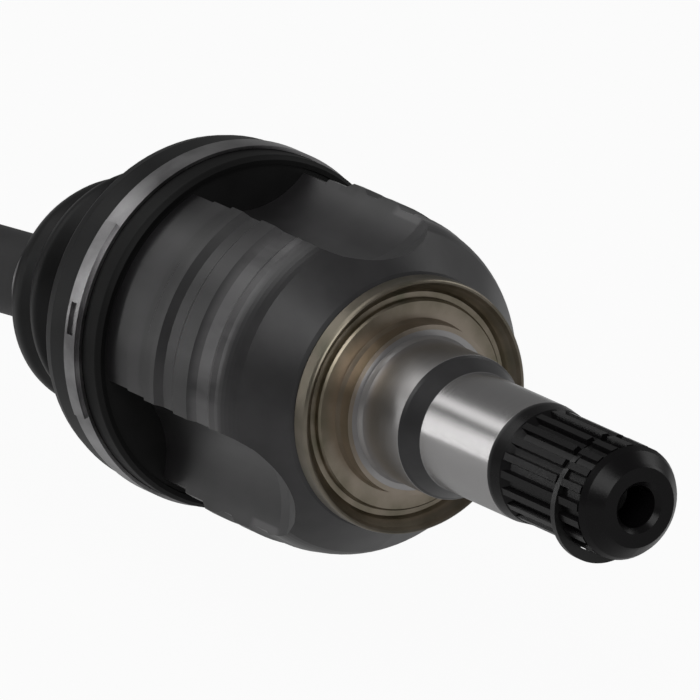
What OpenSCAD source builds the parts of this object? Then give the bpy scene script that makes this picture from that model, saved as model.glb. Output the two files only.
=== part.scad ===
// Front-wheel drive shaft: plunging tripod joint inboard, ball joint outboard, two bellows boots.
// The housing axis is X, +X towards the gearbox. The origin is the middle of the bearing journal.

/* [Resting pose] */
// Angle by which the shaft droops from the housing axis
bend = 5.5; // [0:0.5:10]
// Distance between the two joint centres
joint_span = 340; // [280:5:420]

/* [Gearbox stub] */
// Diameter of the ground bearing journal
journal_d = 30; // [28:0.5:32]
// Length of the bearing journal
journal_len = 29; // [24:1:36]
// Diameter of the oil seal journal
seal_d = 36; // [34:0.5:37]
// Length of the oil seal journal
seal_len = 16; // [12:1:22]
// Length of the black cone between the two journals
shoulder_len = 4.5; // [3:0.5:8]
// Outside diameter of the gearbox spline
spline_d = 28.5; // [26:0.5:29]
// Number of spline teeth
spline_teeth = 20; // [18:1:28]
// Depth of the spline teeth
spline_depth = 1.4; // [1:0.1:1.8]
// Length of the stub past the bearing journal
nose_len = 43; // [36:1:50]
// Distance of the circlip groove from the bearing journal
groove_at = 27; // [22:0.5:29]
// Thickness of the circlip along the axis
circlip_t = 1.8; // [1.6:0.1:2.2]
// Width of the circlip across the axis
circlip_wide = 2.7; // [2.2:0.1:3]
// Height of the circlip's outside over the spline
circlip_proud = 0.7; // [0.4:0.05:0.7]
// How far the loose circlip hangs down in its groove
circlip_drop = 2.4; // [1.6:0.1:2.6]
// Diameter of the centre hole in the nose
centre_d = 10.6; // [8:0.2:12]

/* [Tripod housing] */
// Outside diameter over the lobes
cup_d = 87; // [84:0.5:90]
// Distance from the origin to the front corner of the cup
cup_front = 58.5; // [54:0.5:62]
// Distance from the origin to the open mouth
cup_mouth = 131.5; // [129:0.5:136]
// Distance from the origin to the joint centre at rest
joint_at = 96; // [94:0.5:98]
// Radius of the hollow between two lobes
hollow_r = 22; // [20:0.5:24]
// Distance of that hollow's axis from the housing axis
hollow_at = 53; // [52:0.5:55]
// Diameter of the lobes under the boot
seat_d = 82; // [81:0.5:83]
// Depth of the three grooves round the lobes
lobe_groove = 1.2; // [0.6:0.1:2]
// Radius of the central bore
bore_r = 25; // [24:0.5:26]
// Diameter of the neck that carries the dust cover
neck_d = 40; // [38.5:0.5:41]
// Sheet thickness of the dust cover
cover_wall = 1.2; // [0.8:0.1:1.6]
// Outside diameter of the dust cover
cover_d = 63.6; // [60:0.2:68]

/* [Tripod] */
// Radius from the joint axis to a roller's centre
roller_at = 21; // [20.5:0.1:21.5]
// Outside diameter of a roller
roller_d = 32; // [31:0.5:33]
// Width of a roller
roller_w = 13; // [11:0.5:13]
// Side clearance of a roller in its track
track_gap = 0.85; // [0.8:0.05:0.95]
// Diameter of a trunnion
trunnion_d = 19; // [18:0.5:20]
// Diameter of a needle roller
needle_d = 2.5; // [2:0.1:3]
// Needle rollers round each trunnion
needle_count = 26; // [18:1:26]
// Radial clearance at each side of the needles
needle_gap = 0.03; // [0.02:0.01:0.05]
// Diameter of the spider's hub
hub_d = 28; // [27:0.5:28.5]

/* [Shaft bar] */
// Diameter of the bar
bar_d = 21; // [20:0.5:22]
// Diameter of the bar beside each joint
waist_d = 19; // [18:0.5:20]
// Diameter over the splines at the bar's ends
bar_spline_d = 20.8; // [20:0.2:21.6]
// Number of teeth on those splines
bar_teeth = 24; // [20:1:28]
// Clearance of a splined hub on the bar
spline_gap = 0.05; // [0.03:0.01:0.1]

/* [Ball joint] */
// Diameter of a ball
ball_d = 16; // [15:0.5:16.5]
// Radius from the joint centre to a ball's centre
ball_at = 27; // [26.5:0.1:27.5]
// Side clearance of a ball in its tracks
ball_gap = 0.9; // [0.85:0.05:1.1]
// Diameter of the inner race's ball surface
race_d = 49; // [48:0.5:50]
// Wall of the ball cage
cage_wall = 4.9; // [4:0.1:5.2]
// Clearance between race, cage and bell
cage_gap = 0.05; // [0.03:0.01:0.1]
// Outside diameter of the bell
bell_d = 83; // [81:0.5:86]
// Outside diameter of the hub spline
stem_d = 26.5; // [25:0.5:28]
// Number of hub spline teeth
stem_teeth = 24; // [22:1:30]
// Length of the hub spline
stem_len = 46; // [40:1:56]
// Diameter of the threaded end
thread_d = 22; // [20:1:22]
// Length of the threaded end
thread_len = 22; // [16:1:26]

/* [Boots] */
// Wall of both boots
boot_wall = 2.2; // [1.8:0.1:2.6]
// Thinnest wall of the moulded insert under the inner boot's cuff
bushing_wall = 1.05; // [0.9:0.05:1.6]
// Length of the inner boot's cone and folds
boot_len = 55; // [50:1:60]
// Outside diameter of the boots' small cuffs
small_cuff_d = 27.2; // [26:0.2:28]
// Height of the outer boot's cuff over the bell
outer_cuff_lip = 0.5; // [0.3:0.1:1.5]
// Folds of the outer boot
outer_folds = 5; // [4:1:7]
// Width of a clamp band
band_w = 6.5; // [6:0.5:9]
// Thickness of a clamp band
band_t = 0.8; // [0.6:0.1:1]
// Gap between the moulded insert and the inner boot
bushing_gap = 0.15; // [0.12:0.01:0.3]
// Gap under a clamp band
clamp_gap = 0.08; // [0.05:0.01:0.2]
// Gap between a soft boot and the bar
soft_gap = 0.3; // [0.2:0.05:0.4]

/* [Hidden] */
$fn = 72;
EPS = 0.01;

// Directions of the three trunnions round the housing axis, from +Y towards +Z
LOWER = 270;
RIGHT = 30;
LEFT = 150;
LOBES = [LOWER, RIGHT, LEFT];

// Stub stations along X
journal_front = journal_len / 2;
nose_x = journal_front + nose_len;
seal_front = -journal_len / 2 - shoulder_len;
seal_back = seal_front - seal_len;
circlip_play = 0.2;
groove_w = circlip_t + 2 * circlip_play;
circlip_out = spline_d / 2 + circlip_proud;
groove_r = circlip_out - circlip_wide - circlip_drop - 0.05;

// Housing stations, all measured back from the origin
neck_back = cup_front - 13.6;
cavity_bottom = cup_front + 2.5;
track_r = roller_d / 2 + track_gap;
seat_front = cup_mouth - 29;

// Needle bearing and roller sizes
needle_at = trunnion_d / 2 + needle_gap + needle_d / 2;
roller_bore = needle_at + needle_d / 2 + needle_gap;
retainer_t = 1.2;
retainer_gap = 0.1;
retainer_at = roller_at + roller_w / 2 + retainer_gap;
clip_t = 1;
trunnion_end = retainer_at + retainer_t + clip_t + 1;
clip_depth = 0.6;

// Stations along the bar, as distances from the tripod centre
spider_half = 10.8;
bar_end = spider_half + 3.2;
snap_w = 1.6;
snap_depth = 0.9;
race_half = 10.5;
race_end = race_half + 3.2;
bar_tooth = 0.9;

// Ball joint radii
race_r = race_d / 2;
cage_in = race_r + cage_gap;
cage_out = cage_in + cage_wall;
cage_half = 14;
bell_in = cage_out + cage_gap;
cavity_steps = 24;
cavity_reach = 66;
ball_track = ball_d / 2 + ball_gap;
bell_mouth = 11;
outer_cuff_d = bell_d + 2 * outer_cuff_lip;
bell_seat_d = outer_cuff_d - 2 * boot_wall;
bell_seat_w = 15;
bell_shoulder = 46;
thread_gap = 3;

// Inner boot, as distances from the tripod centre along the bar
cuff_d = seat_d + 2 * (bushing_wall + bushing_gap + boot_wall);
lip_r = cuff_d / 2 - boot_wall - bushing_gap;
cuff_front = seat_front - 4 - joint_at;
cuff_back = cup_mouth + 1.5 - joint_at;
small_cuff_front = cuff_back + boot_len;
small_cuff_len = 10.5;

// Outer boot, as distances from the ball joint centre towards the tripod
outer_small_len = 11;
outer_boot_len = 88;

function arc(cx, cy, r, a0, a1, n) =
    [for (i = [0:n]) let (a = a0 + (a1 - a0) * i / n) [cx + r * cos(a), cy + r * sin(a)]];

function smooth(t) = let (u = min(1, max(0, t))) u * u * (3 - 2 * u);

// Outline of a splined bar: teeth with sloping sides on a root circle
function spline_outline(r, depth, teeth) = [for (i = [0:teeth - 1], c = [
        [r - depth, -0.30], [r, -0.20], [r, 0.20], [r - depth, 0.30]])
    let (a = 360 * (i + c[1]) / teeth) [c[0] * cos(a), c[0] * sin(a)]];

// A turned piece: the points are [station along X, radius]
module turned(points) {
    rotate([0, 90, 0]) rotate_extrude() polygon([for (p = points) [p[1], p[0]]]);
}

// A cylinder along X between two stations
module rod(x0, x1, r) {
    translate([x0, 0, 0]) rotate([0, 90, 0]) cylinder(h = x1 - x0, r = r);
}

// A splined length along X between two stations, with one tooth space at the given angle
module splined(x0, x1, r, depth, teeth, space_at = 0) {
    translate([x0, 0, 0]) rotate([space_at - 90 + 180 / teeth, 0, 0]) rotate([0, 90, 0])
        rotate([0, 0, 180]) linear_extrude(x1 - x0) polygon(spline_outline(r, depth, teeth));
}

// The bar's own frame: the tripod centre, with the far end towards -X
module on_bar() {
    translate([-joint_at, 0, 0]) rotate([0, -bend, 0]) children();
}

// The ball joint's centre in the bar's frame
module on_ball_joint() {
    on_bar() translate([-joint_span, 0, 0]) children();
}

// Local Z along the trunnion that points in direction phi
module on_trunnion(phi) {
    on_bar() rotate([phi - 90, 0, 0]) children();
}

// A part ring about X, open by the given angle round the direction phi
module open_ring(x0, x1, r0, r1, open, phi) {
    translate([x0, 0, 0]) rotate([phi, 0, 0]) rotate([0, 90, 0]) rotate([0, 0, 90 + open / 2])
        rotate_extrude(angle = 360 - open) translate([r0, 0]) square([r1 - r0, x1 - x0]);
}

// Stub, neck and lobed cup of the tripod housing: one forging
module tripod_housing() {
    color([0.16, 0.155, 0.16]) difference() {
        union() {
            stub();
            difference() {
                cup();
                for (phi = LOBES) lobe_hollow(phi + 60);
            }
        }
        circlip_groove();
        centre_hole();
        tripod_tracks();
    }
}

// Journals, splined nose and the neck behind them
module stub() {
    tooth_start = journal_front + 4.5;
    tooth_end = nose_x - 5;
    root = spline_d / 2 - spline_depth;
    turned([
        [-neck_back - 2, 0], [-neck_back - 2, neck_d / 2], [seal_back - 1.5, neck_d / 2],
        [seal_back - 1.5, seal_d / 2 + 0.6], [seal_back, seal_d / 2],
        [seal_front - 0.8, seal_d / 2], [seal_front, seal_d / 2 - 0.6],
        [-journal_len / 2, journal_d / 2], [journal_front, journal_d / 2],
        [tooth_start, spline_d / 2 + 0.2],
        [tooth_start + 2, root], [tooth_end - 2, root], [tooth_end, spline_d / 2 - 0.1],
        [nose_x - 3.5, spline_d / 2 - 1], [nose_x - 0.6, 10.6], [nose_x, 10], [nose_x, 0]]);
    splined(tooth_start, tooth_end - 0.5, spline_d / 2, spline_depth, spline_teeth, 149);
}

module circlip_groove() {
    x0 = journal_front + groove_at;
    difference() {
        rod(x0, x0 + groove_w, spline_d);
        rod(x0 - EPS, x0 + groove_w + EPS, groove_r);
    }
}

module centre_hole() {
    r = centre_d / 2;
    turned([[nose_x - 16, 0], [nose_x - 13, r], [nose_x - 1.2, r], [nose_x + EPS, r + 1.2], [nose_x + EPS, 0]]);
}

// The cup before its hollows are cut: a domed front and three grooves round the lobes
module cup() {
    r = cup_d / 2;
    g = lobe_groove;
    x = -cup_front;
    turned(concat(
        [[-neck_back, 0], [-neck_back, cover_d / 2 - 0.6], [-neck_back - 0.6, cover_d / 2 + 0.4]],
        arc(x - 4.3, r - 14.2, 13.1, 58, 90, 6),
        [[x - 6, r - 0.6], [x - 7.5, r - g], [x - 12.5, r - g], [x - 15, r],
         [x - 21, r], [x - 23, r - g], [x - 27, r - g], [x - 29.5, r],
         [x - 34, r], [x - 36, lip_r],
         [-seat_front + 0.5, lip_r], [-seat_front, seat_d / 2], [-cup_mouth + 1, seat_d / 2],
         [-cup_mouth, seat_d / 2 - 1], [-cup_mouth, 0]]));
}

// A hollow between two lobes, with a rounded front end
module lobe_hollow(phi) {
    rotate([phi - 90, 0, 0]) translate([0, 0, hollow_at])
        turned(concat([[-cup_mouth - 1, 0], [-cup_mouth - 1, hollow_r]],
            arc(-cup_front - 3, 0, hollow_r, 90, 0, 8)));
}

// Three roller tracks and the central bore, flared at the mouth
module tripod_tracks() {
    for (phi = LOBES) rotate([phi - 90, 0, 0]) translate([0, 0, roller_at])
        rod(-cup_mouth - 1, -cavity_bottom, track_r);
    floor_at = -cavity_bottom + 1.5;
    turned([[floor_at, 0], [floor_at, bore_r - 3], [floor_at - 3, bore_r],
        [-cup_mouth + 8, bore_r], [-cup_mouth - EPS, bore_r + 3], [-cup_mouth - 1, bore_r + 3],
        [-cup_mouth - 1, 0]]);
}

// Pressed dust cover on the neck, with a flat step, a channel and a rolled outer lip
module dust_cover() {
    t = cover_wall;
    r0 = neck_d / 2;
    r1 = cover_d / 2;
    w = r1 - r0;
    x = seal_back - 6.2;
    color([0.78, 0.71, 0.58]) turned([
        [x + 4.7, r0], [x + 4.7, r0 + t], [x + 1.2, r0 + t], [x, r0 + t + 0.05 * w],
        [x, r0 + 0.5 * w], [x - 0.5, r0 + 0.54 * w], [x - 1.5, r0 + 0.56 * w],
        [x - 1.5, r0 + 0.67 * w], [x - 0.6, r0 + 0.73 * w], [x + 1, r0 + 0.86 * w],
        [x + 1.9, r0 + 0.92 * w], [x + 2.1, r0 + 0.96 * w], [x + 1.8, r0 + 0.985 * w],
        [x + 1, r1], [x - 2.6, r1], [x - 2.6, r1 - t], [x + 0.2, r1 - t],
        [x - 0.9, r0 + 0.82 * w], [x - 1.9, r0 + 0.75 * w], [x - 2.7, r0 + 0.7 * w],
        [x - 2.7, r0 + 0.5 * w], [x - t, r0 + 0.46 * w], [x - t, r0 + t],
        [x - 2.6, r0 + t], [x - 2.6, r0]]);
}

// Flat circlip hanging loose in its groove
module stub_circlip() {
    x0 = journal_front + groove_at + circlip_play;
    color([0.30, 0.29, 0.30]) translate([0, 0, -circlip_drop])
        open_ring(x0, x0 + circlip_t, circlip_out - circlip_wide, circlip_out, 22, 20);
}

// Moulded insert that makes the lobed cup round for the boot
module boot_bushing() {
    color([0.07, 0.07, 0.075]) difference() {
        rod(-cup_mouth, -seat_front - 1, cuff_d / 2 - boot_wall - bushing_gap);
        difference() {
            rod(-cup_mouth - 1, -seat_front, seat_d / 2);
            for (phi = LOBES) rotate([phi - 30, 0, 0]) translate([0, 0, hollow_at])
                rod(-cup_mouth - 2, -seat_front + 1, hollow_r);
        }
    }
}

// The inner boot's cone and folds: [share of their length, share of the height over the small cuff]
BELLOWS = [[0.045, 0.975], [0.16, 0.82], [0.29, 0.63], [0.375, 0.50], [0.41, 0.46], [0.445, 0.475],
    [0.49, 0.55], [0.535, 0.57], [0.57, 0.535], [0.60, 0.485], [0.65, 0.48], [0.71, 0.50],
    [0.78, 0.465], [0.84, 0.35], [0.89, 0.20], [0.94, 0.08]];

// Outer surface of the inner boot: [distance from the tripod centre, radius]
function inner_boot_skin() = let (r = cuff_d / 2, c = cuff_back, s = small_cuff_d / 2) concat(
    [[cuff_front, r - 1.2], [cuff_front + 1.2, r], [c - 1.5, r], [c, r - 0.4]],
    [for (p = BELLOWS) [c + p[0] * boot_len, s + p[1] * (r - s)]],
    [[small_cuff_front, s + 0.6], [small_cuff_front + 1, s], [small_cuff_front + small_cuff_len, s]]);

// A ring of the bent boot: its centre swings from the housing axis to the bar's axis
function boot_ring(d, r, n) = let (
        f = smooth((d - cuff_back - 8) / (small_cuff_front - cuff_back - 8)),
        tilt = bend * f, cz = -d * sin(bend) * f, cx = -joint_at - d * (1 + (cos(bend) - 1) * f))
    [for (i = [0:n - 1]) let (a = 360 * i / n)
        [cx + r * sin(a) * sin(tilt) * -1, r * cos(a), cz + r * sin(a) * cos(tilt)]];

module inner_boot() {
    n = 48;
    outside = inner_boot_skin();
    back = outside[len(outside) - 1];
    inside = concat(
        [[back[0], bar_d / 2 + soft_gap], [small_cuff_front + 1, bar_d / 2 + soft_gap]],
        [for (i = [len(outside) - 4:-1:4]) [outside[i][0], outside[i][1] - boot_wall]],
        [[cuff_back - 1.4, cuff_d / 2 - boot_wall], [cuff_front, cuff_d / 2 - boot_wall]]);
    rings = concat(outside, inside);
    count = len(rings);
    points = [for (p = rings) each boot_ring(p[0], p[1], n)];
    faces = [for (k = [0:count - 1], i = [0:n - 1]) let (
            a = k * n + i, b = k * n + (i + 1) % n,
            c = ((k + 1) % count) * n + (i + 1) % n, d = ((k + 1) % count) * n + i)
        each [[a, b, c], [a, c, d]]];
    color([0.10, 0.10, 0.105]) polyhedron(points, faces, convexity = 8);
}

// Low-profile clamp: a closed band with its overlapping end, hook and window
module band_clamp(x0, r, phi) {
    lap = 64;
    hook = 10;
    difference() {
        union() {
            difference() {
                rod(x0, x0 + band_w, r + band_t);
                rod(x0 - 1, x0 + band_w + 1, r);
            }
            translate([x0 + 0.15 * band_w, 0, 0]) rotate([phi, 0, 0]) rotate([0, 90, 0])
                rotate([0, 0, 90 - lap / 2]) rotate_extrude(angle = lap)
                translate([r + band_t / 2, 0]) square([1.5 * band_t, 0.7 * band_w]);
        }
        rotate([phi, 0, 0]) rotate([0, 90, 0]) rotate([0, 0, 90 - hook / 2])
            translate([0, 0, x0 + 0.3 * band_w]) rotate_extrude(angle = hook)
            translate([r + band_t, 0]) square([2 * band_t, 0.4 * band_w]);
    }
}

module inner_clamp_large() {
    mid = cup_mouth - 10;
    color([0.72, 0.72, 0.73]) band_clamp(-mid - band_w / 2, cuff_d / 2 + clamp_gap, 169 - 90);
}

module inner_clamp_small() {
    at = small_cuff_front + small_cuff_len / 2;
    color([0.72, 0.72, 0.73]) on_bar() band_clamp(-at - band_w / 2, small_cuff_d / 2 + clamp_gap, 100);
}

// Hub with three trunnions, splined to the bar
module tripod_spider() {
    color([0.55, 0.55, 0.57]) difference() {
        union() {
            on_bar() turned([[-spider_half, 0], [-spider_half, hub_d / 2 - 1.5],
                [-spider_half + 1.5, hub_d / 2], [spider_half - 1.5, hub_d / 2],
                [spider_half, hub_d / 2 - 1.5], [spider_half, 0]]);
            for (phi = LOBES) on_trunnion(phi) trunnion();
        }
        on_bar() splined(-spider_half - 1, spider_half + 1, bar_spline_d / 2 + spline_gap,
            bar_tooth, bar_teeth);
    }
}

module trunnion() {
    difference() {
        union() {
            cylinder(h = trunnion_end, d = trunnion_d);
            cylinder(h = roller_at - roller_w / 2 - retainer_gap, d = trunnion_d + 2);
        }
        translate([0, 0, retainer_at + retainer_t]) difference() {
            cylinder(h = clip_t + 0.1, d = trunnion_d + 4);
            cylinder(h = clip_t + 0.1, d = trunnion_d - 2 * clip_depth);
        }
    }
}

module roller() {
    difference() {
        intersection() {
            translate([0, 0, roller_at]) sphere(d = roller_d);
            translate([0, 0, roller_at - roller_w / 2]) cylinder(h = roller_w, d = roller_d + 2);
        }
        translate([0, 0, roller_at - roller_w]) cylinder(h = 2 * roller_w, r = roller_bore);
    }
}

module needle_set() {
    inset = 0.6;
    for (i = [0:needle_count - 1]) rotate([0, 0, 360 * i / needle_count])
        translate([needle_at, 0, roller_at - roller_w / 2 + inset])
        cylinder(h = roller_w - 2 * inset, d = needle_d, $fn = 20);
}

// Washer over the needles and the clip that holds it
module retainer() {
    translate([0, 0, retainer_at]) difference() {
        cylinder(h = retainer_t, r = needle_at + needle_d / 2);
        translate([0, 0, -1]) cylinder(h = retainer_t + 2, d = trunnion_d + 0.1);
    }
    translate([0, 0, retainer_at + retainer_t + 0.05]) rotate([0, 0, 20])
        rotate_extrude(angle = 320) translate([trunnion_d / 2 - clip_depth + 0.05, 0])
        square([clip_depth + 1.2, clip_t]);
}

module roller_lower() { color([0.68, 0.68, 0.70]) on_trunnion(LOWER) roller(); }
module roller_right() { color([0.68, 0.68, 0.70]) on_trunnion(RIGHT) roller(); }
module roller_left() { color([0.68, 0.68, 0.70]) on_trunnion(LEFT) roller(); }
module needles_lower() { color([0.80, 0.80, 0.82]) on_trunnion(LOWER) needle_set(); }
module needles_right() { color([0.80, 0.80, 0.82]) on_trunnion(RIGHT) needle_set(); }
module needles_left() { color([0.80, 0.80, 0.82]) on_trunnion(LEFT) needle_set(); }
module retainer_lower() { color([0.35, 0.35, 0.37]) on_trunnion(LOWER) retainer(); }
module retainer_right() { color([0.35, 0.35, 0.37]) on_trunnion(RIGHT) retainer(); }
module retainer_left() { color([0.35, 0.35, 0.37]) on_trunnion(LEFT) retainer(); }

// The bar: splined ends with snap ring grooves, a waist beside each joint, boot seats
module shaft_bar() {
    e = joint_span;
    w = waist_d / 2;
    b = bar_d / 2;
    root = bar_spline_d / 2 - bar_tooth;
    color([0.30, 0.30, 0.31]) on_bar() difference() {
        union() {
            turned([[bar_end, 0], [bar_end, root - 0.6], [bar_end - 0.6, root], [-spider_half, root],
                [-spider_half - 1, w], [-cuff_back - 20, w], [-cuff_back - 28, b],
                [-e + 38, b], [-e + 32, w], [-e + race_half + 1, w], [-e + race_half, root],
                [-e - race_end + 0.6, root], [-e - race_end, root - 0.6], [-e - race_end, 0]]);
            splined(-spider_half, bar_end - 0.8, bar_spline_d / 2, bar_tooth, bar_teeth);
            splined(-e - race_end + 0.8, -e + race_half, bar_spline_d / 2, bar_tooth, bar_teeth);
        }
        snap_groove(spider_half + 0.1);
        snap_groove(-e - race_half - 0.1 - snap_w);
    }
}

module snap_groove(x0) {
    difference() {
        rod(x0, x0 + snap_w, bar_d);
        rod(x0 - EPS, x0 + snap_w + EPS, bar_spline_d / 2 - bar_tooth - snap_depth);
    }
}

module snap_ring(x0) {
    open_ring(x0 + 0.05, x0 + snap_w - 0.05, bar_spline_d / 2 - bar_tooth - snap_depth + 0.05,
        bar_spline_d / 2 + 1.2, 50, 0);
}

module spider_snap_ring() { color([0.35, 0.35, 0.37]) on_bar() snap_ring(spider_half + 0.1); }

module race_snap_ring() {
    color([0.35, 0.35, 0.37]) on_ball_joint() snap_ring(-race_half - 0.1 - snap_w);
}

// A torus segment in the meridian plane of direction phi, where the balls run
module ball_track_arc(phi, from, to) {
    rotate([phi, 0, 0]) rotate([0, 0, 90 + from])
        rotate_extrude(angle = to - from) translate([ball_at, 0]) circle(r = ball_track, $fn = 48);
}

module inner_race() {
    color([0.60, 0.60, 0.62]) on_ball_joint() difference() {
        intersection() {
            sphere(r = race_r);
            rod(-race_half, race_half, race_r + 1);
        }
        for (phi = [30:60:330]) ball_track_arc(phi, -36, 36);
        splined(-race_half - 1, race_half + 1, bar_spline_d / 2 + spline_gap, bar_tooth, bar_teeth);
    }
}

module ball_cage() {
    window_w = ball_d + 0.1;
    window_len = ball_d + 5;
    color([0.50, 0.50, 0.53]) on_ball_joint() difference() {
        intersection() {
            sphere(r = cage_out);
            rod(-cage_half, cage_half, cage_out + 1);
        }
        sphere(r = cage_in);
        for (phi = [30:60:330]) rotate([phi, 0, 0]) translate([0, ball_at, 0])
            cube([window_w, 3 * cage_wall, window_len], center = true);
    }
}

module joint_balls() {
    color([0.82, 0.82, 0.84]) on_ball_joint()
        for (phi = [30:60:330]) rotate([phi, 0, 0]) translate([0, ball_at, 0]) sphere(d = ball_d);
}

// Bell with ball tracks, and the splined and threaded stem for the wheel hub
module outer_housing() {
    color([0.17, 0.165, 0.17]) on_ball_joint() difference() {
        union() {
            turned(bell_outline());
            splined(-bell_shoulder - 8 - stem_len, -bell_shoulder - 8, stem_d / 2, 1.1, stem_teeth);
        }
        turned(concat([[bell_mouth + 1, 0], [bell_mouth + 1, bell_in - 0.2]],
            arc(0, 0, bell_in, cavity_reach, 180, cavity_steps)));
        for (phi = [30:60:330]) ball_track_arc(phi, -60, 40);
        stem_centre();
    }
}

function bell_outline() = let (
        r = bell_d / 2, s = bell_seat_d / 2, back = -bell_shoulder, q = stem_d / 2,
        e = back - 8 - stem_len, t = thread_d / 2)
    concat(
        [[bell_mouth, 0], [bell_mouth, s - 1.2], [bell_mouth - 1.2, s],
         [bell_mouth - bell_seat_w, s], [bell_mouth - bell_seat_w - 1, r]],
        arc(-24, r - 12, 12, 90, 150, 6),
        [[back + 5, 27], [back + 2, 25], [back, 25], [back, 19], [back - 4, 18.4],
         [back - 5, q + 1], [back - 7, q + 0.6], [back - 9, q - 1.1], [e + 1.5, q - 1.1],
         [e, t + 0.3], [e - thread_gap, t - 1.4], [e - thread_gap - 1.2, t],
         [e - thread_gap - thread_len + 1.5, t], [e - thread_gap - thread_len, t - 1.5],
         [e - thread_gap - thread_len, 0]]);

module stem_centre() {
    x = -bell_shoulder - 8 - stem_len - thread_gap - thread_len;
    turned([[x - EPS, 0], [x - EPS, 4], [x + 3.2, 2], [x + 9, 2], [x + 10, 0]]);
}

// Outer surface of the outer boot: [distance from the ball joint towards the tripod, radius]
function outer_boot_skin() = let (
        r = outer_cuff_d / 2, s = small_cuff_d / 2, d0 = bell_mouth + 3,
        d1 = outer_boot_len - outer_small_len - 2, steps = 10 * outer_folds)
    concat(
        [[bell_mouth - bell_seat_w + 0.6, r - 1], [bell_mouth - bell_seat_w + 1.6, r],
         [bell_mouth, r], [bell_mouth + 1.5, r - 1.2]],
        [for (i = [0:steps]) let (t = i / steps, mean = r - 4 - (r - s - 6.5) * pow(t, 0.8))
            [d0 + (d1 - d0) * t, mean - (3.6 - 1.4 * t) * cos(360 * outer_folds * t)]],
        [[d1 + 1.2, s + 0.4], [d1 + 2, s], [outer_boot_len, s]]);

module outer_boot() {
    skin = outer_boot_skin();
    inside = concat([[outer_boot_len, bar_d / 2 + soft_gap],
            [outer_boot_len - outer_small_len, bar_d / 2 + soft_gap]],
        [for (i = [len(skin) - 5:-1:4]) [skin[i][0], skin[i][1] - boot_wall]],
        [[bell_mouth + 0.5, bell_seat_d / 2], [bell_mouth - bell_seat_w + 0.6, bell_seat_d / 2]]);
    color([0.10, 0.10, 0.105]) on_ball_joint() turned(concat(skin, inside));
}

module outer_clamp_large() {
    at = bell_mouth - bell_seat_w / 2 + 0.6;
    color([0.72, 0.72, 0.73]) on_ball_joint() band_clamp(at - band_w / 2, outer_cuff_d / 2 + clamp_gap, 40);
}

module outer_clamp_small() {
    at = outer_boot_len - outer_small_len / 2;
    color([0.72, 0.72, 0.73]) on_ball_joint()
        band_clamp(at - band_w / 2, small_cuff_d / 2 + clamp_gap, 200);
}

tripod_housing();
dust_cover();
stub_circlip();
boot_bushing();
inner_boot();
inner_clamp_large();
inner_clamp_small();
tripod_spider();
spider_snap_ring();
roller_lower();
roller_right();
roller_left();
needles_lower();
needles_right();
needles_left();
retainer_lower();
retainer_right();
retainer_left();
shaft_bar();
inner_race();
race_snap_ring();
ball_cage();
joint_balls();
outer_housing();
outer_boot();
outer_clamp_large();
outer_clamp_small();
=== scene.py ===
"""A front-wheel drive shaft dressed for close views: tripod joint, bar, ball joint, two boots."""

import logging
import math
from dataclasses import dataclass, field
from enum import Enum

import bmesh
import bpy
from mathutils import Matrix, Vector


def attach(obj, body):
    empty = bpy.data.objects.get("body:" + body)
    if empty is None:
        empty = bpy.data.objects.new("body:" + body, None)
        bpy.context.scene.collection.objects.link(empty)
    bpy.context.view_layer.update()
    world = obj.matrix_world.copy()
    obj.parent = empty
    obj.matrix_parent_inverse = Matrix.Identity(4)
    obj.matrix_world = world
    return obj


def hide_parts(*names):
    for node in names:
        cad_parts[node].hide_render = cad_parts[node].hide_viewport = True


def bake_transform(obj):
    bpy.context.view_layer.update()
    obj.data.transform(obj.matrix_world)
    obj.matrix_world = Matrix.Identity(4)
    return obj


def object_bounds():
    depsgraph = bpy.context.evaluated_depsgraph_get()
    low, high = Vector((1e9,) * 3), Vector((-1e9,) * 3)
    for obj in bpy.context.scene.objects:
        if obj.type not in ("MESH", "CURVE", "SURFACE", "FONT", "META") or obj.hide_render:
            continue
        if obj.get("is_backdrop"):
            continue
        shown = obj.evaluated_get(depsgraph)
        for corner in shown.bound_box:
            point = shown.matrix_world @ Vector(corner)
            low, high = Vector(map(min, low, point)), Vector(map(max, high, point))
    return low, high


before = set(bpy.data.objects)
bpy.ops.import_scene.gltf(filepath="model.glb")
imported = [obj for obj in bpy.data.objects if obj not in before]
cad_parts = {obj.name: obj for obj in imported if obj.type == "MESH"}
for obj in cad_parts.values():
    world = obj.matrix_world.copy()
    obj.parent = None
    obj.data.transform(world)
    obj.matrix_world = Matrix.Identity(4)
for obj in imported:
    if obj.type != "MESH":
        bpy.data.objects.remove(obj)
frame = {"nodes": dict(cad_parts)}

log = logging.getLogger("drive_shaft")

MM = 0.001
TAU = 2 * math.pi
WELD = 1e-7  # vertices closer than this, in metres, are one
NOWHERE = 500.0  # a station past both ends of the part, in millimetres


# Shader maths and nodes


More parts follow.
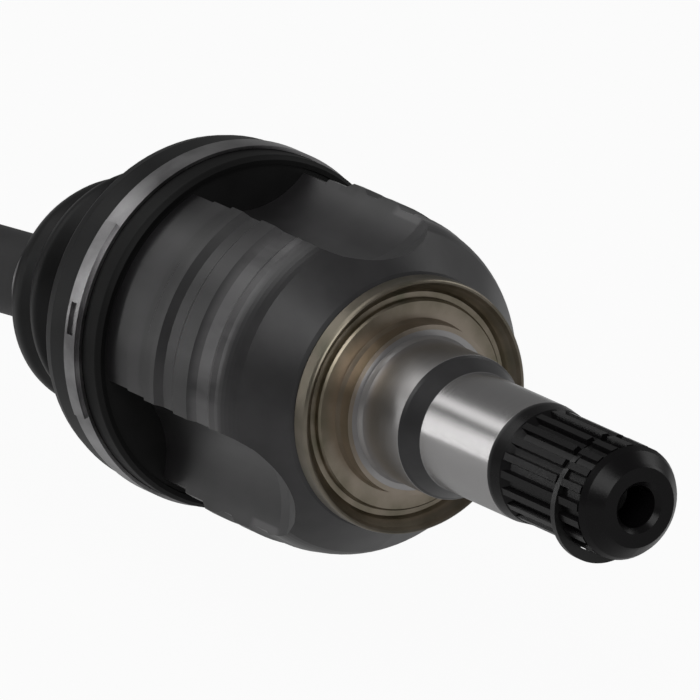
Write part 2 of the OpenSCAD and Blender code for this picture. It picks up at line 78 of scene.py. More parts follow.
class Value:
    """A node socket that can be used in Python expressions."""

    def __init__(self, graph: "Graph", socket: bpy.types.NodeSocket) -> None:
        """Keep the graph that the socket belongs to, and the socket.

        Args:
            graph: the node graph that new Math nodes go into.
            socket: the output socket that this value stands for.
        """
        self.graph = graph
        self.socket = socket

    def _op(self, operation: str, *terms: "Term") -> "Value":
        """Return the output of one Math node over the given terms."""
        node = self.graph.node("ShaderNodeMath", {"operation": operation},
                               {i: term for i, term in enumerate(terms)})
        return Value(self.graph, node.outputs[0])

    def __add__(self, other: "Term") -> "Value":
        """Return self + other."""
        return self._op("ADD", self, other)

    __radd__ = __add__

    def __sub__(self, other: "Term") -> "Value":
        """Return self - other."""
        return self._op("SUBTRACT", self, other)

    def __rsub__(self, other: "Term") -> "Value":
        """Return other - self."""
        return self._op("SUBTRACT", other, self)

    def __mul__(self, other: "Term") -> "Value":
        """Return self * other."""
        return self._op("MULTIPLY", self, other)

    __rmul__ = __mul__

    def __pow__(self, other: "Term") -> "Value":
        """Return self raised to other."""
        return self._op("POWER", self, other)

    def __rpow__(self, other: "Term") -> "Value":
        """Return other raised to self."""
        return self._op("POWER", other, self)

    def root(self) -> "Value":
        """Return the square root of this value."""
        return self._op("SQRT", self)

    def most(self, other: "Term") -> "Value":
        """Return the larger of this value and another."""
        return self._op("MAXIMUM", self, other)

    def step(self, low: float, high: float) -> "Value":
        """Return 0 below low, 1 above high, and a smooth rise between.

        Args:
            low: where the rise starts.
            high: where it ends; it may lie below low for a fall.

        Returns:
            The smoothed step.
        """
        node = self.graph.node("ShaderNodeMapRange", {"interpolation_type": "SMOOTHSTEP"},
                               {0: self, 1: min(low, high), 2: max(low, high),
                                3: 0.0 if high > low else 1.0, 4: 1.0 if high > low else 0.0})
        return Value(self.graph, node.outputs[0])

    def span(self, start: float, end: float, soft: float) -> "Value":
        """Return 1 between start and end, with soft edges that wide."""
        return self.step(start - soft, start) * self.step(end + soft, end)


Term = Value | float


class Graph:
    """One material and the node graph that dresses it."""

    def __init__(self, name: str) -> None:
        """Make an empty node material with a Principled shader.

        Args:
            name: the material's name.
        """
        self.material = bpy.data.materials.new(name)
        self.material.use_nodes = True
        self.tree = self.material.node_tree
        self.tree.nodes.clear()
        self.output = self.node("ShaderNodeOutputMaterial", {}, {})
        self.shader = self.node("ShaderNodeBsdfPrincipled", {}, {})
        self.tree.links.new(self.shader.outputs[0], self.output.inputs[0])
        coords = self.node("ShaderNodeTexCoord", {}, {})
        self.place = coords.outputs["Object"]
        parts = self.node("ShaderNodeSeparateXYZ", {}, {0: self.place})
        self.x, self.y, self.z = (Value(self, out) for out in parts.outputs)

    def node(self, kind: str, settings: dict, inputs: dict) -> bpy.types.Node:
        """Add any node: its settings first, then the values or links of its sockets.

        Args:
            kind: the node's type name.
            settings: the node's own properties; "stops" fills a colour ramp.
            inputs: socket name or index to a number, colour, vector, socket or Value.

        Returns:
            The new node.
        """
        made = self.tree.nodes.new(kind)
        for key, value in settings.items():
            if key == "stops":
                ramp = made.color_ramp.elements
                while len(ramp) < len(value):
                    ramp.new(1.0)
                for stop, (place, colour) in zip(ramp, value):
                    stop.position, stop.color = place, (*colour, 1.0)
            else:
                setattr(made, key, value)
        for key, value in inputs.items():
            self.feed(made.inputs[key], value)
        return made

    def feed(self, socket: bpy.types.NodeSocket, value: object) -> None:
        """Link a socket to a Value or another socket, or set its number, colour or vector."""
        if isinstance(value, Value):
            value = value.socket
        if isinstance(value, bpy.types.NodeSocket):
            self.tree.links.new(value, socket)
        elif isinstance(value, (tuple, list)) and len(value) == 3 and socket.type == "RGBA":
            socket.default_value = (*value, 1.0)
        else:
            socket.default_value = value

    def noise(self, size_mm: float, detail: float = 3.0, stretch: tuple = (1, 1, 1),
              rough: float = 0.5) -> Value:
        """Return fractal noise on Object coordinates.

        Args:
            size_mm: the width of one blot, in millimetres.
            detail: how many finer layers it has.
            stretch: how much faster it runs along each axis.
            rough: how strong the finer layers are.

        Returns:
            The noise, about 0.5 on average.
        """
        mapped = self.node("ShaderNodeMapping", {}, {0: self.place, 3: stretch})
        made = self.node("ShaderNodeTexNoise", {}, {
            "Vector": mapped.outputs[0], "Scale": 1 / (size_mm * MM), "Detail": detail,
            "Roughness": rough})
        return Value(self, made.outputs[0])

    def mix(self, factor: Term, first: object, second: object) -> bpy.types.NodeSocket:
        """Return a colour between two colours.

        Args:
            factor: 0 gives the first colour, 1 the second.
            first: a colour or socket.
            second: a colour or socket.

        Returns:
            The mixed colour's socket.
        """
        made = self.node("ShaderNodeMix", {"data_type": "RGBA"}, {0: factor, 6: first, 7: second})
        return made.outputs[2]

    @staticmethod
    def clouds(mottle: Value, grain: Value) -> Value:
        """Return a shade from 0 to 1: large clouds for the most part, and fine grain."""
        return mottle.step(0.3, 0.7) * 0.7 + grain * 0.3

    def bump(self, height: Value, depth_mm: float) -> bpy.types.NodeSocket:
        """Return a normal for a height that runs from 0 to 1, that many millimetres deep."""
        made = self.node("ShaderNodeBump", {}, {
            "Strength": 1.0, "Distance": depth_mm * MM, "Height": height})
        return made.outputs[0]

    def finish(self, **sockets: object) -> bpy.types.Material:
        """Feed the Principled shader's sockets and return the material."""
        for name, value in sockets.items():
            self.feed(self.shader.inputs[name.replace("_", " ")], value)
        return self.material


# Finishes


@dataclass(frozen=True)
class Surface:
    """One plain metal, coat or plastic, with mottling and fine grain; depths in millimetres."""

    name: str
    dark: tuple
    light: tuple
    metal: float
    rough: tuple
    mottle_mm: float = 9.0
    grain_mm: float = 0.35
    grain_depth: float = 0.02
    stretch: tuple = (1, 1, 1)
    gloss: float = 0.5

    def material(self) -> bpy.types.Material:
        """Build the material.

        Returns:
            The new node material.
        """
        g = Graph(self.name)
        mottle = g.noise(self.mottle_mm, 4.0)
        grain = g.noise(self.grain_mm, 2.0, self.stretch)
        low, high = self.rough
        return g.finish(
            Base_Color=g.mix(g.clouds(mottle, grain), self.dark, self.light), Metallic=self.metal,
            Roughness=low + (high - low) * (mottle * 0.6 + grain * 0.4),
            Specular_IOR_Level=self.gloss, Normal=g.bump(grain, self.grain_depth))


BAND = Surface("clamp_band", (0.12, 0.117, 0.12), (0.40, 0.395, 0.40), 1.0, (0.22, 0.38),
               13.0, 0.3, 0.004, (8, 1, 1))
BAR_COAT = Surface("bar_coat", (0.022, 0.0215, 0.0225), (0.034, 0.0335, 0.0345), 0.0, (0.42, 0.6),
                   12.0, 0.5, 0.02, gloss=0.3)
POLISHED = Surface("rolling_steel", (0.62, 0.62, 0.64), (0.74, 0.74, 0.75), 1.0, (0.1, 0.2),
                   4.0, 0.2, 0.002)
MACHINED = Surface("machined_steel", (0.36, 0.36, 0.37), (0.47, 0.47, 0.48), 1.0, (0.24, 0.38),
                   6.0, 0.25, 0.006, (6, 1, 1))
SPRING = Surface("spring_steel", (0.08, 0.08, 0.085), (0.14, 0.14, 0.145), 0.9, (0.3, 0.45),
                 3.0, 0.2, 0.004)
NYLON = Surface("moulded_insert", (0.004, 0.004, 0.004), (0.007, 0.007, 0.007), 0.0, (0.5, 0.65),
                8.0, 0.4, 0.01, gloss=0.3)
CIRCLIP = Surface("black_circlip", (0.006, 0.006, 0.006), (0.012, 0.012, 0.012), 0.0, (0.25, 0.4),
                  3.0, 0.2, 0.004, gloss=0.4)


@dataclass(frozen=True)
class Rubber:
    """Moulded boot rubber, with painted shade: a deeper black on the stretches where it lies over
    a cuff.

    These stretches are (start, end) pairs along X in millimetres, with an edge that many
    millimetres soft.
    """

    name: str
    shaded_stretches: tuple = ()
    cuff_edge: float = 2.5
    deep: tuple = (0.0025, 0.0025, 0.0025)
    bloomed: tuple = (0.011, 0.011, 0.0115)

    def material(self) -> bpy.types.Material:
        """Build the material.

        Returns:
            The new node material.
        """
        g = Graph(self.name)
        # painted shade: a deeper black, without bloom, over the shaded stretches
        shade_mask = g.x * 0.0
        for start, end in self.shaded_stretches:
            shade_mask = shade_mask.most(g.x.span(start * MM, end * MM, self.cuff_edge * MM))
        mottle = g.noise(14.0, 4.0)
        grain = g.noise(0.5, 2.0)
        bloom_and_shade = g.clouds(mottle, grain) * (1 - shade_mask)
        return g.finish(
            Base_Color=g.mix(bloom_and_shade, self.deep, self.bloomed),
            Roughness=0.34 + mottle * 0.12 + shade_mask * 0.12, Specular_IOR_Level=0.2,
            Normal=g.bump(grain, 0.008))


@dataclass(frozen=True)
class ForgedBlack:
    """Black coated forging with ground journals; stations run along an axis, in millimetres.

    Journals are (start, end) pairs, ground up to a radius. The nose is oiled from one station on.
    The lands, which lie outside the hollows, get a painted highlight in one band and painted shade
    in another.
    """

    name: str
    journals: tuple
    along: Vector
    origin: Vector
    ground_radius: float = 60.0
    oiled_from: float = NOWHERE
    highlight_band: tuple = (NOWHERE, NOWHERE + 1)
    groove_shade: tuple = (NOWHERE, NOWHERE + 1)
    journal_edge: float = 0.15
    highlight_edge: float = 3.0
    groove_shade_edge: float = 1.5
    lands: tuple = (40.3, 41.0)
    satin_before: tuple = (-17.0, -18.0)
    black: tuple = ((0.015, 0.0145, 0.0153), (0.027, 0.0258, 0.0273))
    highlight_grey: tuple = (0.085, 0.083, 0.085)
    groove_shade_black: tuple = (0.006, 0.0055, 0.006)
    oiled_black: tuple = (0.005, 0.0046, 0.005)
    steel: tuple = ((0.36, 0.352, 0.352), (0.50, 0.492, 0.49))

    def material(self) -> bpy.types.Material:
        """Build the material.

        Returns:
            The new node material.
        """
        g = Graph(self.name)
        away = [g.x - self.origin.x, g.y - self.origin.y, g.z - self.origin.z]
        station = away[0] * self.along.x + away[2] * self.along.z
        radius = (away[0] ** 2 + away[1] ** 2 + away[2] ** 2 - station ** 2).most(0.0).root()
        ground = station * 0.0
        for start, end in self.journals:
            ground = ground.most(station.span(start * MM, end * MM, self.journal_edge * MM))
        ground = ground * radius.step((self.ground_radius + 0.5) * MM, self.ground_radius * MM)
        mottle = g.noise(16.0, 4.0)
        scale = g.noise(0.9, 3.0)
        lines = g.noise(0.22, 2.0, (1.0, 0.03, 0.03))
        smear = g.noise(9.0, 3.0, (0.25, 1, 1))
        oiled = station.step((self.oiled_from - 1) * MM, (self.oiled_from + 1) * MM)
        satin = station.step(self.satin_before[0] * MM, self.satin_before[1] * MM)
        black = g.mix(mottle.step(0.35, 0.7), *self.black)
        lands = radius.step(self.lands[0] * MM, self.lands[1] * MM)
        # painted highlight: a lighter, streaky band on the lands
        highlight_band = station.span(self.highlight_band[0] * MM, self.highlight_band[1] * MM, self.highlight_edge * MM)
        highlight_band = highlight_band * smear.step(0.25, 0.6)
        black = g.mix(highlight_band * lands, black, self.highlight_grey)
        # painted shade: a darker band on the lands, in the groove
        groove_shade = station.span(self.groove_shade[0] * MM, self.groove_shade[1] * MM, self.groove_shade_edge * MM)
        groove_shade = groove_shade * lands * 0.8
        black = g.mix(groove_shade, black, self.groove_shade_black)
        black = g.mix(oiled, black, self.oiled_black)
        steel = g.mix(lines * 0.6 + smear * 0.4, *self.steel)
        height = scale * 0.5 * (1 - ground) + lines * 0.08 * ground
        return g.finish(
            Base_Color=g.mix(ground, black, steel), Metallic=ground,
            Roughness=(0.36 + mottle * 0.14 - oiled * 0.16) * (1 - ground)
            + (0.15 + lines * 0.13 + satin * 0.13) * ground,
            Coat_Weight=(1 - oiled) * (1 - ground) * (0.55 + smear * 0.5), Coat_Roughness=0.36,
            Specular_IOR_Level=0.16, Normal=g.bump(height, 0.03))


@dataclass(frozen=True)
class GoldZinc:
    """Passivated zinc on pressed sheet: clouded gold, pale near the neck and dark at the rim.

    The two tints come in between radii in millimetres.
    """

    name: str
    gold: tuple = ((0.22, 0.195, 0.145), (0.34, 0.295, 0.235))
    green: tuple = (0.20, 0.21, 0.145)
    pale: tuple = (0.50, 0.425, 0.36)
    pale_within: tuple = (26.0, 21.0)
    brown: tuple = (0.13, 0.12, 0.10)
    brown_from: tuple = (28.5, 29.5)

    def material(self) -> bpy.types.Material:
        """Build the material.

        Returns:
            The new node material.
        """
        g = Graph(self.name)
        cloud = g.noise(7.0, 3.0)
        tint = g.noise(11.0, 2.0, (1, 1.3, 0.8))
        lines = g.noise(0.3, 2.0)
        base = g.mix(cloud.step(0.3, 0.7), *self.gold)
        base = g.mix(tint.step(0.5, 0.75) * 0.5, base, self.green)
        radius = (g.y ** 2 + g.z ** 2).root()
        for (start, end), colour in ((self.pale_within, self.pale), (self.brown_from, self.brown)):
            base = g.mix(radius.step(start * MM, end * MM) * 0.5, base, colour)
        return g.finish(Base_Color=base, Metallic=1.0, Roughness=0.28 + cloud * 0.16,
                        Normal=g.bump(lines, 0.006))


# Mesh helpers


def lathe(profile: list, centre: Vector, along: Vector, steps: int = 96) -> bmesh.types.BMesh:
    """Spin a closed outline round an axis.

    Args:
        profile: (station, radius) pairs in millimetres; stations run along the axis.
        centre: the point of the axis where the station is 0, in metres.
        along: the axis as a unit vector.
        steps: segments round the axis.

    Returns:
        A new mesh with its doubles merged and its faces pointing outwards.
    """
    bm = bmesh.new()
    side = along.orthogonal().normalized()
    verts = [bm.verts.new(centre + along * (s * MM) + side * (r * MM)) for s, r in profile]
    edges = [bm.edges.new(pair) for pair in zip(verts, verts[1:] + verts[:1])]
    bmesh.ops.spin(bm, geom=verts + edges, cent=centre, axis=along, angle=TAU, steps=steps,
                   use_merge=True)
    bmesh.ops.remove_doubles(bm, verts=bm.verts, dist=WELD)
    bmesh.ops.recalc_face_normals(bm, faces=bm.faces)
    return bm


def piece(name: str, bm: bmesh.types.BMesh, material: bpy.types.Material,
          sharp: float = 35.0) -> bpy.types.Object:
    """Turn a mesh under work into a finished, smoothly shaded piece.

    Args:
        name: the piece's name.
        bm: the mesh, which is freed.
        material: its finish.
        sharp: edges steeper than this many degrees stay crisp.

    Returns:
        The new object, at the origin.
    """
    for face in bm.faces:
        face.smooth = True
    for edge in bm.edges:
        edge.smooth = not (len(edge.link_faces) == 2
                           and edge.calc_face_angle(0.0) > math.radians(sharp))
    mesh = bpy.data.meshes.new(name)
    bm.to_mesh(mesh)
    bm.free()
    mesh.materials.append(material)
    obj = bpy.data.objects.new(name, mesh)
    bpy.context.scene.collection.objects.link(obj)
    log.info("%s: %d faces", name, len(mesh.polygons))
    return obj


def copy_of(node: str) -> bmesh.types.BMesh:
    """Return a copy of a CAD node's mesh in the part's frame."""
    source = frame["nodes"][node]
    bm = bmesh.new()
    bm.from_mesh(source.data)
    bm.transform(source.matrix_world)
    return bm


def rounded(points: list, radii: list, steps: int = 6, share: float = 0.48) -> list:
    """Round the corners of an open outline.

    Args:
        points: (station, radius) corners in millimetres.
        radii: the rounding at each corner, 0 for a crisp one.
        steps: pieces in each rounded corner.
        share: the most of each neighbouring side that a rounding may take.

    Returns:
        The denser outline.
    """
    out: list = []
    for i, (corner, radius) in enumerate(zip(points, radii)):
        here = Vector(corner)
        if radius <= 0 or i in (0, len(points) - 1):
            out.append(tuple(here))
            continue
        before, after = Vector(points[i - 1]) - here, Vector(points[i + 1]) - here
        turn = before.angle(after)
        reach = min(radius / math.tan(turn / 2), before.length * share, after.length * share)
        start, end = here + before.normalized() * reach, here + after.normalized() * reach
        for k in range(steps + 1):
            t = k / steps
            out.append(tuple((1 - t) ** 2 * start + 2 * t * (1 - t) * here + t ** 2 * end))
    return out


# The part's frame


@dataclass(frozen=True)
class Layout:
    """The part's main sizes in millimetres and degrees, as in its CAD source."""

    bend: float = 5.5
    joint_at: float = 96.0
    joint_span: float = 340.0

    @property
    def along(self) -> Vector:
        """Return the bar's direction, away from the gearbox."""
        a = math.radians(self.bend)
        return Vector((-math.cos(a), 0, -math.sin(a)))

    @property
    def tripod(self) -> Vector:
        """Return the tripod's centre in metres."""
        return Vector((-self.joint_at * MM, 0, 0))

    @property
    def ball_joint(self) -> Vector:
        """Return the ball joint's centre in metres."""
        return self.tripod + self.along * (self.joint_span * MM)


# Sub-assemblies


class Node(Enum):
    """Which finish each carried-over CAD node gets."""

    GOLD = ("dust_cover",)
    SPRING = ("spider_snap_ring", "race_snap_ring", "retainer_lower", "retainer_right",
              "retainer_left")
    CIRCLIP = ("stub_circlip",)
    NYLON = ("boot_bushing",)
    BAND = ("inner_clamp_large", "inner_clamp_small", "outer_clamp_large", "outer_clamp_small")
    MACHINED = ("tripod_spider", "inner_race", "ball_cage")
    POLISHED = ("roller_lower", "roller_right", "roller_left", "needles_lower", "needles_right",
                "needles_left", "joint_balls")
    BAR = ("shaft_bar",)


@dataclass
class CarriedNodes:
    """Dresses the CAD nodes that stay as they are."""

    layout: Layout
    nodes: dict = field(default_factory=lambda: frame["nodes"])

    def dress(self) -> None:
        """Give every CAD node its procedural finish."""
        finishes = {Node.GOLD: GoldZinc("gold_zinc"), Node.SPRING: SPRING, Node.CIRCLIP: CIRCLIP,
                    Node.NYLON: NYLON, Node.BAND: BAND, Node.MACHINED: MACHINED,
                    Node.POLISHED: POLISHED, Node.BAR: BAR_COAT}
        for group, finish in finishes.items():
            made = finish.material()
            for name in group.value:
                self.paint(name, made)
        # painted highlight on the lands from X -71 to -63 mm, painted shade in the groove from X
        # -96 to -90.5 mm
        cup = ForgedBlack("black_forging_stub", journals=((-14.5, 14.5), (-47.0, -19.8)),
                          along=Vector((1, 0, 0)), origin=Vector((0, 0, 0)), ground_radius=23.0,
                          oiled_from=15.0, highlight_band=(-71.0, -63.0), groove_shade=(-96.0, -90.5))
        self.paint("tripod_housing", cup.material())
        bell = ForgedBlack("black_forging_bell", journals=((46.2, 53.0),),
                           along=self.layout.along, origin=self.layout.ball_joint)
        self.paint("outer_housing", bell.material())

    def paint(self, name: str, material: bpy.types.Material) -> None:
        """Put one material on every slot of a CAD node."""
        mesh = self.nodes[name].data
        mesh.materials.clear()
        mesh.materials.append(material)
        log.info("%s: %s", name, material.name)


@dataclass
class Boots:
    """The two moulded bellows, each in two lengths that meet where the joint's middle body is.

    Sizes are in millimetres. Distances run from the tripod's centre along the inner boot, and from
    the ball joint's centre back along the outer one. The inner boot's blends are stations on X in
    metres; nothing uses them.
    """

    layout: Layout
    wall: float = 2.2
    bar_hole: float = 10.8
    cuff_edge: float = 15.5
    insert_set_back: float = 0.8
    hook_turn: float = 90.0
    droop_from: float = 45.0
    droop_over: float = 47.0
    inner_outline: tuple = (
        (15.5, 43.4, 1), (16.7, 44.4, 1), (36.4, 44.4, 1), (39.5, 43.6, 3), (57.0, 30.4, 4),
        (59.6, 28.4, 1.2), (64.4, 31.4, 4), (67.4, 30.4, 3), (70.4, 27.7, 2), (75.6, 29.1, 6),
        (81.0, 27.4, 7), (87.0, 17.6, 7), (91.0, 13.9, 3), (93.0, 13.6, 1), (102.2, 13.6, 1),
        (102.5, 13.3, 0))
    inner_seam: float = 49.5
    inner_length: float = 102.5
    inner_cuff_hole: float = 42.21
    inner_cuff_end: float = 36.2
    inner_bar_cuff: float = 92.5
    inner_cup_blend: tuple = (-0.1265, -0.1450)
    inner_bar_blend: tuple = (-0.1459, -0.1860)
    outer_mouth: float = 11.0
    outer_length: float = 88.0
    outer_cuff: float = 42.0
    outer_cuff_width: float = 14.4
    outer_small: float = 13.6
    outer_small_width: float = 11.0
    outer_folds: int = 5
    outer_seam: float = 34.0
    fold_steps: int = 16
    fold_inset: float = 4.0
    fold_rise: float = 2.5
    fold_taper: float = 0.8
    fold_half: float = 3.6
    fold_loss: float = 1.4
    near: float = 0.05

    def build(self) -> None:
        """Build both boots and dress them; the insert and the large clamp are tied to the cup."""
        # painted shade on the inner boot's cuff, from X -119 to -90 mm
        self.inner(Rubber("inner_boot_rubber", ((-119.0, -90.0),)).material())
        self.outer(Rubber("outer_boot_rubber").material())
        self.insert()
        self.clamp()

    def wall_of(self, outer: list, start: float, end: float, holes: dict) -> list:
        """Close a boot's outline with its inner surface.

        Args:
            outer: the outside as (distance, radius) pairs in millimetres.
            start: where this length of the boot starts.
            end: where it ends.
            holes: (start, end) stretches whose inside has a fixed radius.

        Returns:
            The closed outline of this length.
        """
        kept = [p for p in outer if start + self.near < p[0] < end - self.near]
        skin = [(start, self.radius_at(outer, start))] + kept + [(end, self.radius_at(outer, end))]
        back = []
        for d, r in reversed(skin):
            inside = r - self.wall
            for (a, b), hole in holes.items():
                if a <= d <= b:
                    inside = hole
            back.append((d, inside))
        return skin + back

    @staticmethod
    def radius_at(outline: list, d: float) -> float:
        """Return the outline's radius at distance d, between its points."""
        for (d0, r0), (d1, r1) in zip(outline, outline[1:]):
            if d0 <= d <= d1 and d1 > d0:
                return r0 + (r1 - r0) * (d - d0) / (d1 - d0)
        return outline[0][1] if d <= outline[0][0] else outline[-1][1]

    def droop(self, bm: bmesh.types.BMesh) -> None:
        """Swing each ring of the straight inner boot from the cup's axis to the bar's axis."""
        tilt = math.radians(self.layout.bend)
        for vert in bm.verts:
            d = (self.layout.tripod.x - vert.co.x) / MM
            t = min(1.0, max(0.0, (d - self.droop_from) / self.droop_over))
            share = t * t * (3 - 2 * t)
            ring = self.layout.tripod + Vector((-d * MM, 0, 0))
            placed = self.layout.tripod + Vector((
                -d * (1 + (math.cos(tilt) - 1) * share), 0, -d * math.sin(tilt) * share)) * MM
            vert.co = placed + Matrix.Rotation(-tilt * share, 3, "Y") @ (vert.co - ring)

    def inner(self, rubber: bpy.types.Material) -> None:
        """Build the inner boot's two lengths."""
        corners = [(d, r) for d, r, _ in self.inner_outline]
        outer = rounded(corners, [c for _, _, c in self.inner_outline])
        lengths = (
            ("inner_boot_cup_length", self.cuff_edge, self.inner_seam,
             {(-NOWHERE, self.inner_cuff_end): self.inner_cuff_hole},
             "tripod_cup", "lower_needle_set", self.inner_cup_blend),
            ("inner_boot_bar_length", self.inner_seam, self.inner_length,
             {(self.inner_bar_cuff, NOWHERE): self.bar_hole},
             "lower_needle_set", "shaft", self.inner_bar_blend))
        for name, start, end, holes, first, second, (x0, x1) in lengths:
            bm = lathe(self.wall_of(outer, start, end, holes), self.layout.tripod,
                       Vector((-1, 0, 0)))
            self.droop(bm)
            bmesh.ops.recalc_face_normals(bm, faces=bm.faces)
            obj = piece(name, bm, rubber, 50)
            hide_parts("inner_boot")
            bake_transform(obj)

    def outer(self, rubber: bpy.types.Material) -> None:
        """Build the outer boot's two lengths; distances run from the ball joint to the tripod."""
        mouth, length, small = self.outer_mouth, self.outer_length, self.outer_small_width
        edge, r, s = mouth - self.outer_cuff_width, self.outer_cuff, self.outer_small
        first, last = mouth + 3, length - small - 2
        steps = self.fold_steps * self.outer_folds
        folds = []
        for i in range(steps + 1):
            t = i / steps
            fall = r - s - self.fold_inset - self.fold_rise
            mean = r - self.fold_inset - fall * t ** self.fold_taper
            wave = math.cos(TAU * self.outer_folds * t)
            half = self.fold_half - self.fold_loss * t
            folds.append((first + (last - first) * t, mean - half * wave))
        outer = ([(edge, r - 1), (edge + 1, r), (mouth, r), (mouth + 1.5, r - 1.2)]
                 + folds + [(last + 1.2, s + 0.4), (last + 2, s), (length, s)])
        centre, back = self.layout.ball_joint, -self.layout.along
        lengths = (
            ("outer_boot_bar_length", self.outer_seam, length,
             {(length - small, NOWHERE): self.bar_hole}, "shaft", "cage_and_balls",
             length - small - 2, self.outer_seam + 0.3),
            ("outer_boot_bell_length", edge, self.outer_seam,
             {(-NOWHERE, mouth + 0.5): r - self.wall}, "cage_and_balls", "bell",
             self.outer_seam - 0.3, mouth + 1.5))
        for name, start, end, holes, one, other, d0, d1 in lengths:
            bm = lathe(self.wall_of(outer, start, end, holes), centre, back)
            obj = piece(name, bm, rubber, 50)
            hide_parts("outer_boot")
            centre + back * (d0 * MM)
            centre + back * (d1 * MM)
            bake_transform(obj)

    def insert(self) -> None:
        """Cut the moulded insert back to the cuff's edge, where the photograph shows it end."""
        bm = copy_of("boot_bushing")
        edge = self.layout.tripod.x - (self.cuff_edge + self.insert_set_back) * MM
        for vert in bm.verts:
            vert.co.x = min(vert.co.x, edge)
        bmesh.ops.remove_doubles(bm, verts=bm.verts, dist=WELD)
        bmesh.ops.dissolve_degenerate(bm, edges=bm.edges, dist=WELD)
        bmesh.ops.recalc_face_normals(bm, faces=bm.faces)
        obj = piece("moulded_insert", bm, NYLON.material())
        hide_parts("boot_bushing")
        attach(obj, "tripod_cup")

    def clamp(self) -> None:
        """Turn the large clamp so that its hook lies at the side where the photograph shows it."""
        bm = copy_of("inner_clamp_large")
        bmesh.ops.rotate(bm, verts=bm.verts, cent=(0, 0, 0),
                         matrix=Matrix.Rotation(math.radians(self.hook_turn), 3, "X"))
        obj = piece("large_clamp", bm, BAND.material())
        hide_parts("inner_clamp_large")
        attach(obj, "tripod_cup")


@dataclass
class StemThread:
    """The thread on the stem's end: one ridge that winds round the plain core of the solid."""

    layout: Layout
    start: float = 105.4
    pitch: float = 1.5
    turns: int = 12
    root: float = 10.9
    crest: float = 11.28
    foot_share: float = 0.42
    crest_half: float = 0.1
    steps_per_turn: int = 36

    def build(self) -> None:
        """Wind the ridge and let it ride on the bell."""
        along, centre = self.layout.along, self.layout.ball_joint
        side = along.orthogonal().normalized()
        foot, flat = self.pitch * self.foot_share, self.crest_half
        bm = bmesh.new()
        verts = [bm.verts.new(centre + along * ((self.start + d) * MM) + side * (r * MM))
                 for d, r in ((-foot, self.root), (-flat, self.crest), (flat, self.crest),
                              (foot, self.root))]
        edges = [bm.edges.new(pair) for pair in zip(verts, verts[1:] + verts[:1])]
        bmesh.ops.spin(bm, geom=verts + edges, cent=centre, axis=along,
                       dvec=along * (self.pitch * MM / self.steps_per_turn),
                       angle=TAU * self.turns, steps=self.turns * self.steps_per_turn,
                       use_merge=False)
        bmesh.ops.holes_fill(bm, edges=[e for e in bm.edges if e.is_boundary], sides=0)
        bmesh.ops.recalc_face_normals(bm, faces=bm.faces)
        obj = piece("stem_thread", bm, BAR_COAT.material(), 30)
        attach(obj, "bell")


@dataclass(frozen=True)
class Lamp:
    """One soft box: its place from the aim and its size in metres, and its power in watts."""

    name: str
    place: tuple
    power: float
    size: tuple


LAMPS = (Lamp("left_strip", (-0.88, -0.66, 0.055), 0.85, (0.09, 0.9)),
         Lamp("top_box", (-0.66, -0.42, 0.96), 3.2, (0.7, 1.0)),
         Lamp("front_fill", (1.05, -0.84, 0.98), 9.5, (0.9, 0.9)),
         Lamp("right_rim", (0.12, 1.2, 0.6), 2.0, (0.3, 0.9)))


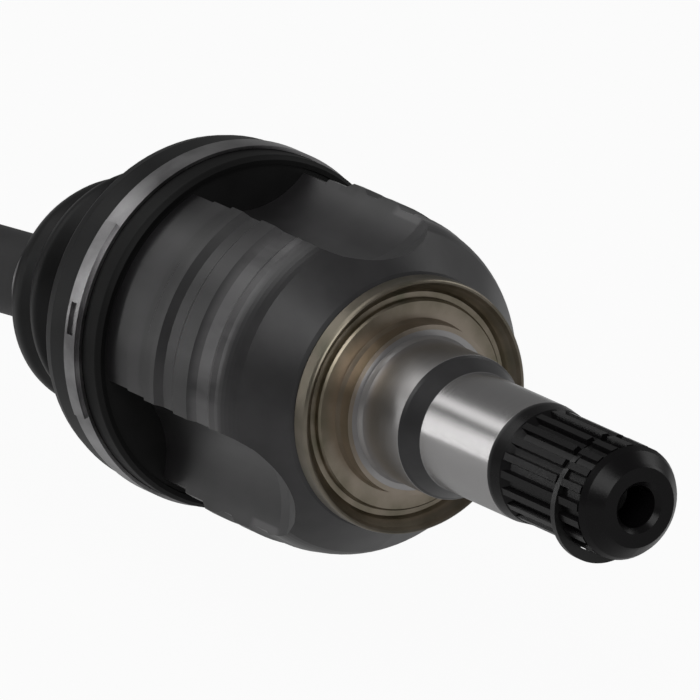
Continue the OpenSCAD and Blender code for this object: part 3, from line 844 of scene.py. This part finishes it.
@dataclass
class Studio:
    """Camera, floor, backdrop and lamps, in metres; the lens and its sensor in millimetres."""

    aim: Vector = field(default_factory=lambda: Vector((-26.3, -27.3, 22.4)) * MM)
    to_camera: Vector = field(default_factory=lambda: Vector((0.7976, -0.5259, 0.2957)))
    distance: float = 7.459
    lens: float = 1600.0
    sensor: float = 36.0
    sight: float = 40.0
    floor_size: float = 4.0
    floor_gap: float = 0.0005
    floor_grey: tuple = (0.62, 0.62, 0.62)
    white_seen: float = 0.95
    white_mirrored: float = 0.2
    world_light: float = 0.2
    world_seen: float = 1.0

    def build(self) -> None:
        """Set up the whole studio."""
        self.camera()
        self.floor()
        self.lamps()

    def camera(self) -> None:
        """Place the camera at the photograph's viewing angle."""
        data = bpy.data.cameras.new("camera")
        data.lens, data.sensor_width, data.clip_end = self.lens, self.sensor, self.sight
        obj = bpy.data.objects.new("camera", data)
        bpy.context.scene.collection.objects.link(obj)
        direction = self.to_camera.normalized()
        obj.location = self.aim + direction * self.distance
        obj.rotation_euler = (-direction).to_track_quat("-Z", "Y").to_euler()
        bpy.context.scene.camera = obj

    def floor(self) -> None:
        """Lay a plain pale floor that reads as white to the camera."""
        low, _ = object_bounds()
        bm = bmesh.new()
        bmesh.ops.create_grid(bm, x_segments=1, y_segments=1, size=self.floor_size)
        bmesh.ops.translate(bm, verts=bm.verts, vec=(0, 0, low[2] - self.floor_gap))
        g = Graph("pale_floor")
        path = g.node("ShaderNodeLightPath", {}, {})
        camera, glossy, through = (Value(g, path.outputs[f"Is {kind} Ray"])
                                   for kind in ("Camera", "Glossy", "Transmission"))
        seen = camera * self.white_seen + glossy.most(through) * self.white_mirrored
        g.finish(Base_Color=self.floor_grey, Roughness=0.9)
        glow = g.node("ShaderNodeEmission", {}, {0: (1.0, 1.0, 1.0), 1: 1.0})
        blend = g.node("ShaderNodeMixShader", {},
                       {0: seen, 1: g.shader.outputs[0], 2: glow.outputs[0]})
        g.tree.links.new(blend.outputs[0], g.output.inputs[0])
        obj = piece("floor", bm, g.material)
        obj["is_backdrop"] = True

    def lamps(self) -> None:
        """Hang the soft boxes and set the world."""
        world = bpy.data.worlds.new("studio")
        bpy.context.scene.world = world
        world.use_nodes = True
        tree = world.node_tree
        path = tree.nodes.new("ShaderNodeLightPath")
        level = tree.nodes.new("ShaderNodeMapRange")
        tree.links.new(path.outputs["Is Camera Ray"], level.inputs[0])
        level.inputs["To Min"].default_value = self.world_light
        level.inputs["To Max"].default_value = self.world_seen
        back = tree.nodes["Background"]
        back.inputs[0].default_value = (1, 1, 1, 1)
        tree.links.new(level.outputs[0], back.inputs[1])
        for lamp in LAMPS:
            data, place = bpy.data.lights.new(lamp.name, "AREA"), Vector(lamp.place)
            data.energy, data.shape = lamp.power, "RECTANGLE"
            data.size, data.size_y = lamp.size
            obj = bpy.data.objects.new(lamp.name, data)
            bpy.context.scene.collection.objects.link(obj)
            obj.location = self.aim + place
            obj.rotation_euler = (-place).to_track_quat("-Z", "Y").to_euler()


def main() -> None:
    """Build the pieces in order."""
    logging.basicConfig(level=logging.INFO, format="%(message)s")
    bpy.context.scene.view_settings.view_transform = "Standard"
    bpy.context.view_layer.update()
    layout = Layout()
    Studio().build()
    CarriedNodes(layout).dress()
    Boots(layout).build()
    StemThread(layout).build()


if __name__ == "__main__":
    main()
